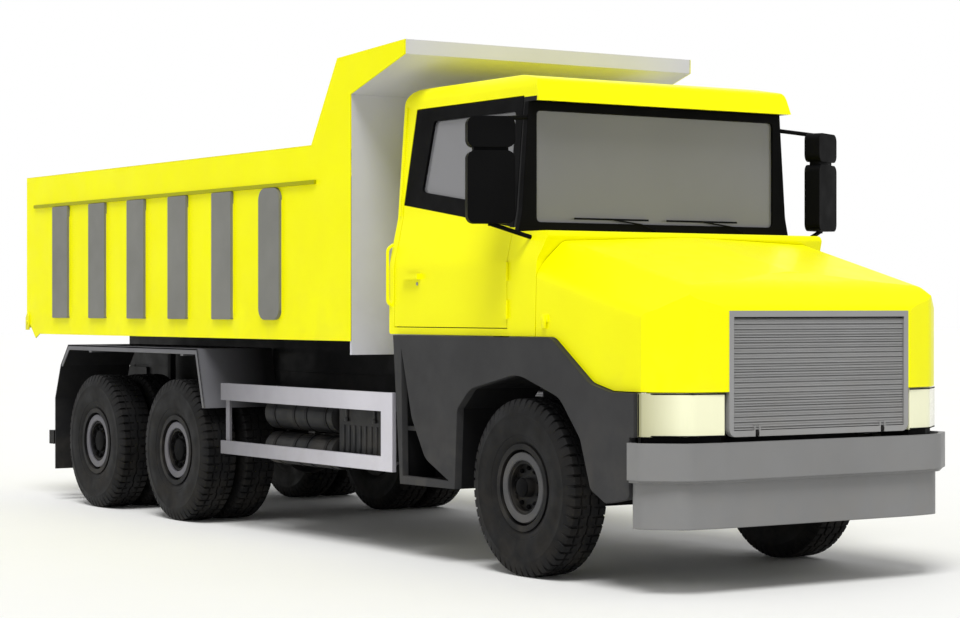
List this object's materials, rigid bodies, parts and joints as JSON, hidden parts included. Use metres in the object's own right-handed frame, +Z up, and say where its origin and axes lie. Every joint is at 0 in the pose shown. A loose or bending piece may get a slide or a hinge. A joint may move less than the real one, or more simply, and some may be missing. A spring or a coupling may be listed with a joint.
{
  "type": "bonneted tipper truck",
  "caption": "Bonneted tipper truck with a high-sided tipping bed, canopy over the cab, tilting bonnet, opening doors, swinging tailgate and steered front wheels.",
  "frame": {"origin": "on the ground, under the middle of the overall length and width", "axes": "+X forward along the truck, +Y to its left, +Z up"},
  "size_m": [9.28, 3.0584, 3.497],
  "materials": {
    "yellow_paint": "gloss",
    "chassis_black": "satin",
    "dark_grey_plastic": "satin",
    "mid_grey": "satin",
    "light_grey": "satin",
    "rib_grey": "satin",
    "silver": "satin",
    "cast_grey": "rough",
    "rim_grey": "satin",
    "tyre": "matte",
    "glass": "polished",
    "lamp": "polished",
    "black_trim": "satin",
    "interior": "matte",
    "cloth": "woven",
    "steel": "polished"
  },
  "bodies": {
    "chassis": {"frame_rails": "chassis_black", "cross_members": "chassis_black", "tipping_subframe": "chassis_black", "springs": "cast_grey", "front_axle": "cast_grey", "drive_axles": "cast_grey", "engine": "cast_grey", "radiator": "interior", "propshafts": "chassis_black", "side_tanks": "chassis_black", "exhaust": "cast_grey", "side_guards": "silver", "mudguards": "dark_grey_plastic", "rear_underrun": "chassis_black", "bumper": "mid_grey", "bonnet_hinge_ears": "chassis_black", "fenders": "dark_grey_plastic", "headlamps": "lamp", "cab": "yellow_paint", "windscreen_frame": "black_trim", "cab_glass": "glass", "seats": "cloth", "seat_bases": "interior", "dashboard": "interior", "steering_wheel": "interior", "mirrors": "black_trim"},
    "door_left": {"door_left": "yellow_paint", "window_frame_left": "black_trim", "door_glass_left": "glass"},
    "door_right": {"door_right": "yellow_paint", "window_frame_right": "black_trim", "door_glass_right": "glass"},
    "bonnet": {"bonnet": "yellow_paint", "grille": "mid_grey"},
    "bed": {"bed_sides": "yellow_paint", "bed_floor": "mid_grey", "bed_ribs": "rib_grey", "headboard": "light_grey", "bed_underframe": "chassis_black"},
    "tailgate": {"tailgate": "yellow_paint"},
    "hoist_barrels": {"hoist_barrels": "chassis_black"},
    "hoist_stages": {"hoist_stages": "steel"},
    "hoist_rods": {"hoist_rods": "steel"},
    "knuckle_left": {"knuckle_left": "cast_grey"},
    "knuckle_right": {"knuckle_right": "cast_grey"},
    "tie_rod": {"tie_rod": "cast_grey"},
    "wheel_front_left": {"rim_front_left": "rim_grey", "tyre_front_left": "tyre"},
    "wheel_front_right": {"rim_front_right": "rim_grey", "tyre_front_right": "tyre"},
    "wheels_middle_left": {"rims_middle_left": "rim_grey", "tyres_middle_left": "tyre"},
    "wheels_middle_right": {"rims_middle_right": "rim_grey", "tyres_middle_right": "tyre"},
    "wheels_rear_left": {"rims_rear_left": "rim_grey", "tyres_rear_left": "tyre"},
    "wheels_rear_right": {"rims_rear_right": "rim_grey", "tyres_rear_right": "tyre"}
  },
  "joints": [
    {"name": "steer_left", "type": "hinge", "parent": "chassis", "child": "knuckle_left", "pos_m": [3.13, 0.87, 0.56], "axis": [0, 0, 1], "range_deg": [-35, 35]},
    {"name": "steer_right", "type": "hinge", "parent": "chassis", "child": "knuckle_right", "pos_m": [3.13, -0.87, 0.56], "axis": [0, 0, 1], "range_deg": [-35, 35]},
    {"name": "tie_rod_pivot", "type": "hinge", "parent": "knuckle_left", "child": "tie_rod", "pos_m": [2.92, 0.87, 0.412], "axis": [0, 0, 1], "range_deg": [-35, 35]},
    {"name": "wheel_front_left_spin", "type": "hinge", "parent": "knuckle_left", "child": "wheel_front_left", "pos_m": [3.13, 1.035, 0.56], "axis": [0, 1, 0], "continuous": true},
    {"name": "wheel_front_right_spin", "type": "hinge", "parent": "knuckle_right", "child": "wheel_front_right", "pos_m": [3.13, -1.035, 0.56], "axis": [0, 1, 0], "continuous": true},
    {"name": "wheels_middle_left_spin", "type": "hinge", "parent": "chassis", "child": "wheels_middle_left", "pos_m": [-1.63, 0.925, 0.56], "axis": [0, 1, 0], "continuous": true},
    {"name": "wheels_middle_right_spin", "type": "hinge", "parent": "chassis", "child": "wheels_middle_right", "pos_m": [-1.63, -0.925, 0.56], "axis": [0, 1, 0], "continuous": true},
    {"name": "wheels_rear_left_spin", "type": "hinge", "parent": "chassis", "child": "wheels_rear_left", "pos_m": [-3.14, 0.925, 0.56], "axis": [0, 1, 0], "continuous": true},
    {"name": "wheels_rear_right_spin", "type": "hinge", "parent": "chassis", "child": "wheels_rear_right", "pos_m": [-3.14, -0.925, 0.56], "axis": [0, 1, 0], "continuous": true},
    {"name": "door_left_hinge", "type": "hinge", "parent": "chassis", "child": "door_left", "pos_m": [2.972, 1.172, 1.8], "axis": [0, 0, -1], "range_deg": [0, 70]},
    {"name": "door_right_hinge", "type": "hinge", "parent": "chassis", "child": "door_right", "pos_m": [2.972, -1.172, 1.8], "axis": [0, 0, 1], "range_deg": [0, 70]},
    {"name": "bonnet_tilt", "type": "hinge", "parent": "chassis", "child": "bonnet", "pos_m": [4.605, 0, 0.948], "axis": [0, 1, 0], "range_deg": [0, 60]},
    {"name": "bed_tip", "type": "hinge", "parent": "chassis", "child": "bed", "pos_m": [-4.22, 0, 1.11], "axis": [0, -1, 0], "range_deg": [0, 50]},
    {"name": "tailgate_swing", "type": "hinge", "parent": "bed", "child": "tailgate", "pos_m": [-4.615, 0, 2.79], "axis": [0, 1, 0], "range_deg": [0, 75]},
    {"name": "hoist_tilt", "type": "hinge", "parent": "chassis", "child": "hoist_barrels", "pos_m": [-0.67, 0, 0.52], "axis": [0, 1, 0], "range_deg": [0, 14.7]},
    {"name": "hoist_stage_slide", "type": "slide", "parent": "hoist_barrels", "child": "hoist_stages", "axis": [-0.8575, 0, 0.5145], "range_m": [0, 0.868]},
    {"name": "hoist_rod_slide", "type": "slide", "parent": "hoist_stages", "child": "hoist_rods", "axis": [-0.8575, 0, 0.5145], "range_m": [0, 0.868]}
  ],
  "couplings": [
    {"joint": "steer_right", "follows": "steer_left", "ratio": 1},
    {"joint": "tie_rod_pivot", "follows": "steer_left", "ratio": -1},
    {"joint": "hoist_tilt", "follows": "bed_tip", "ratio": 0.28992},
    {"joint": "hoist_stage_slide", "follows": "bed_tip", "m_per_rad": 0.99196},
    {"joint": "hoist_rod_slide", "follows": "bed_tip", "m_per_rad": 0.99196}
  ]
}
